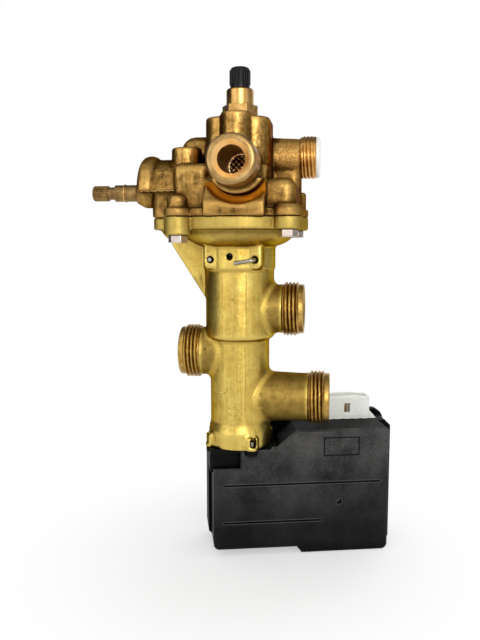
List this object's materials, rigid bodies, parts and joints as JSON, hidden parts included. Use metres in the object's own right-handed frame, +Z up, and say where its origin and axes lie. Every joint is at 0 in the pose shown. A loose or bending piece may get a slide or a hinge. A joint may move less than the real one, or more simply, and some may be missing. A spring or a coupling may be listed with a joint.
{
  "type": "boiler diverter valve",
  "caption": "Brass three-way diverter valve of a combination boiler, with a bolted water section, filling tap, flow adjuster and a motor actuator at its foot.",
  "frame": {"origin": "centre of the lower right port's sealing face", "axes": "+X out along that port, +Z up along the barrel towards the knob, +Y to the back, away from the inlet"},
  "size_m": [0.1501, 0.0908, 0.2396],
  "materials": {
    "yellow_brass": "cast yellow brass, machined ends",
    "bronze": "cast red brass, machined ends",
    "bright_brass": "turned brass",
    "steel": "zinc-plated steel",
    "black_plastic": "fine moulded grain",
    "white_plastic": "natural nylon",
    "inner_plastic": "moulded acetal",
    "black_rubber": "moulded rubber",
    "contact_metal": "tinned brass"
  },
  "bodies": {
    "valve_body": {"diverter_body": "yellow_brass", "flange_bolts": "steel", "retaining_clip": "steel", "seal_cartridge": "inner_plastic", "cartridge_rings": "black_rubber", "upper_seat": "bright_brass", "foot_bush": "inner_plastic", "bush_ring": "black_rubber", "return_spring": "steel", "diaphragm": "black_rubber", "water_section": "bronze", "inlet_strainer": "steel", "outlet_plug": "white_plastic", "gland_nut": "bright_brass", "actuator_cover": "black_plastic", "actuator_housing": "black_plastic", "actuator_screws": "steel", "foot_studs": "steel", "gear_motor": "steel", "end_switches": "black_plastic", "connector_housing": "white_plastic", "connector_terminals": "contact_metal"},
    "shuttle": {"diverter_rod": "steel", "lower_disc": "bright_brass", "lower_disc_seal": "black_rubber", "upper_disc": "bright_brass", "upper_disc_seal": "black_rubber", "lower_plate": "steel", "upper_plate": "steel", "guide_spindle": "bright_brass", "rack_plunger": "inner_plastic"},
    "pinion": {"drive_pinion": "inner_plastic"},
    "adjuster": {"adjuster_spindle": "bright_brass", "adjuster_knob": "black_plastic"},
    "throttle": {"throttle_plug": "inner_plastic"},
    "tap": {"tap_spindle": "bright_brass", "tap_circlip": "steel"},
    "tap_closer": {"tap_jumper": "bright_brass"}
  },
  "joints": [
    {"name": "valve_stroke", "type": "slide", "parent": "valve_body", "child": "shuttle", "axis": [0, 0, 1], "range_m": [0, 0.0065], "stiffness_N_per_m": 200, "springref_m": -0.005, "deforming": ["return_spring", "diaphragm"]},
    {"name": "pinion_turn", "type": "hinge", "parent": "valve_body", "child": "pinion", "pos_m": [-0.03524, 0.00243, -0.048], "axis": [-0.2419, 0.9703, 0], "range_deg": [-2, 66]},
    {"name": "knob_turn", "type": "hinge", "parent": "valve_body", "child": "adjuster", "pos_m": [-0.045, 0, 0.1356], "axis": [0, 0, 1], "range_deg": [-720, 720]},
    {"name": "throttle_travel", "type": "slide", "parent": "valve_body", "child": "throttle", "axis": [0, 0, 1], "range_m": [-0.00201, 0.00201]},
    {"name": "tap_turn", "type": "hinge", "parent": "valve_body", "child": "tap", "pos_m": [-0.0924, -0.003, 0.101], "axis": [-1, 0, 0], "range_deg": [-720, 0]},
    {"name": "tap_closing", "type": "slide", "parent": "valve_body", "child": "tap_closer", "axis": [1, 0, 0], "range_m": [-0.00001, 0.00161]}
  ],
  "couplings": [
    {"joint": "pinion_turn", "follows": "valve_stroke", "rad_per_m": 166.67},
    {"joint": "throttle_travel", "follows": "knob_turn", "m_per_rad": 0.00015915},
    {"joint": "tap_closing", "follows": "tap_turn", "m_per_rad": -0.00012732}
  ]
}
